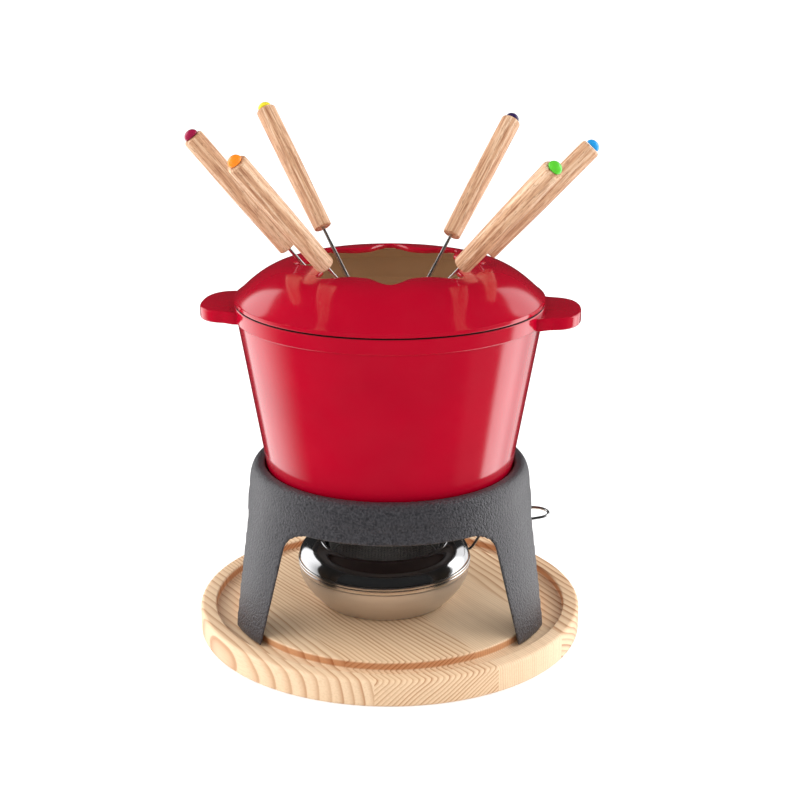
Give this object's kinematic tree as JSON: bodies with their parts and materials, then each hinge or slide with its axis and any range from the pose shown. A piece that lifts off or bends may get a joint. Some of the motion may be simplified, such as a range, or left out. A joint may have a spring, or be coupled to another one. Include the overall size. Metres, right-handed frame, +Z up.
{
  "type": "fondue pot set",
  "caption": "Red enamelled fondue pot with a scalloped fork ring and long forks, on a three-legged cast stand over a spirit burner, standing in the groove of a round pine board.",
  "frame": {"origin": "centre of the board's underside, on the table", "axes": "+Z up; -Y towards the front, where the picture was taken from; +X to the right, towards the burner's handle"},
  "size_m": [0.2629, 0.26, 0.3454],
  "materials": {
    "pine": "clear-finished pale pine, glued staves",
    "cast_iron": "matte black, fine sand-cast grain",
    "enamel": "gloss red vitreous enamel outside, beige brown enamel inside the pot",
    "ring_enamel": "gloss red vitreous enamel, beige brown underside",
    "handle_wood": "pale oiled hardwood",
    "fork_steel": "polished stainless wire",
    "cap_yellow": "glossy yellow",
    "cap_crimson": "glossy crimson",
    "cap_orange": "glossy orange",
    "cap_purple": "glossy purple",
    "cap_blue": "glossy blue",
    "cap_green": "glossy green",
    "bowl_steel": "brushed stainless, turned lines",
    "cover_steel": "polished stainless",
    "band_steel": "brushed stainless",
    "cup_steel": "dull stainless",
    "wadding": "white absorbent fibre",
    "gauze": "woven steel gauze",
    "wire": "bright steel wire"
  },
  "bodies": {
    "board": {"base_board": "pine"},
    "stand": {"stand": "cast_iron"},
    "pot": {"pot": "enamel"},
    "splash_ring": {"splash_ring": "ring_enamel"},
    "burner": {"burner_bowl": "bowl_steel", "burner_cover": "cover_steel", "burner_cup": "cup_steel", "burner_wadding": "wadding", "burner_gauze": "gauze"},
    "regulator": {"burner_regulator": "band_steel", "burner_handle": "wire"},
    "fork_yellow": {"fork_yellow_shaft": "fork_steel", "fork_yellow_handle": "handle_wood", "fork_yellow_cap": "cap_yellow"},
    "fork_crimson": {"fork_crimson_shaft": "fork_steel", "fork_crimson_handle": "handle_wood", "fork_crimson_cap": "cap_crimson"},
    "fork_orange": {"fork_orange_shaft": "fork_steel", "fork_orange_handle": "handle_wood", "fork_orange_cap": "cap_orange"},
    "fork_purple": {"fork_purple_shaft": "fork_steel", "fork_purple_handle": "handle_wood", "fork_purple_cap": "cap_purple"},
    "fork_blue": {"fork_blue_shaft": "fork_steel", "fork_blue_handle": "handle_wood", "fork_blue_cap": "cap_blue"},
    "fork_green": {"fork_green_shaft": "fork_steel", "fork_green_handle": "handle_wood", "fork_green_cap": "cap_green"}
  },
  "joints": [
    {"name": "stand_lift", "type": "slide", "parent": "board", "child": "stand", "axis": [0, 0, 1], "range_m": [0, 0.1]},
    {"name": "pot_lift", "type": "slide", "parent": "stand", "child": "pot", "axis": [0, 0, 1], "range_m": [0, 0.12]},
    {"name": "ring_lift", "type": "slide", "parent": "pot", "child": "splash_ring", "axis": [0, 0, 1], "range_m": [0, 0.15]},
    {"name": "fork_yellow_draw", "type": "slide", "parent": "splash_ring", "child": "fork_yellow", "axis": [-0.431, 0.428, 0.7944], "range_m": [0, 0.3]},
    {"name": "fork_crimson_draw", "type": "slide", "parent": "splash_ring", "child": "fork_crimson", "axis": [-0.6157, -0.1365, 0.776], "range_m": [0, 0.3]},
    {"name": "fork_orange_draw", "type": "slide", "parent": "splash_ring", "child": "fork_orange", "axis": [-0.534, -0.4053, 0.742], "range_m": [0, 0.3]},
    {"name": "fork_purple_draw", "type": "slide", "parent": "splash_ring", "child": "fork_purple", "axis": [0.4517, 0.4629, 0.7627], "range_m": [0, 0.3]},
    {"name": "fork_blue_draw", "type": "slide", "parent": "splash_ring", "child": "fork_blue", "axis": [0.6956, 0.0206, 0.7181], "range_m": [0, 0.3]},
    {"name": "fork_green_draw", "type": "slide", "parent": "splash_ring", "child": "fork_green", "axis": [0.5359, -0.4594, 0.7083], "range_m": [0, 0.3]},
    {"name": "burner_draw", "type": "slide", "parent": "board", "child": "burner", "axis": [0.866, 0.5, 0], "range_m": [0, 0.2]},
    {"name": "regulator_turn", "type": "hinge", "parent": "burner", "child": "regulator", "pos_m": [-0.0037, 0.0009, 0.0448], "axis": [0, 0, 1], "range_deg": [-20, 20]}
  ]
}
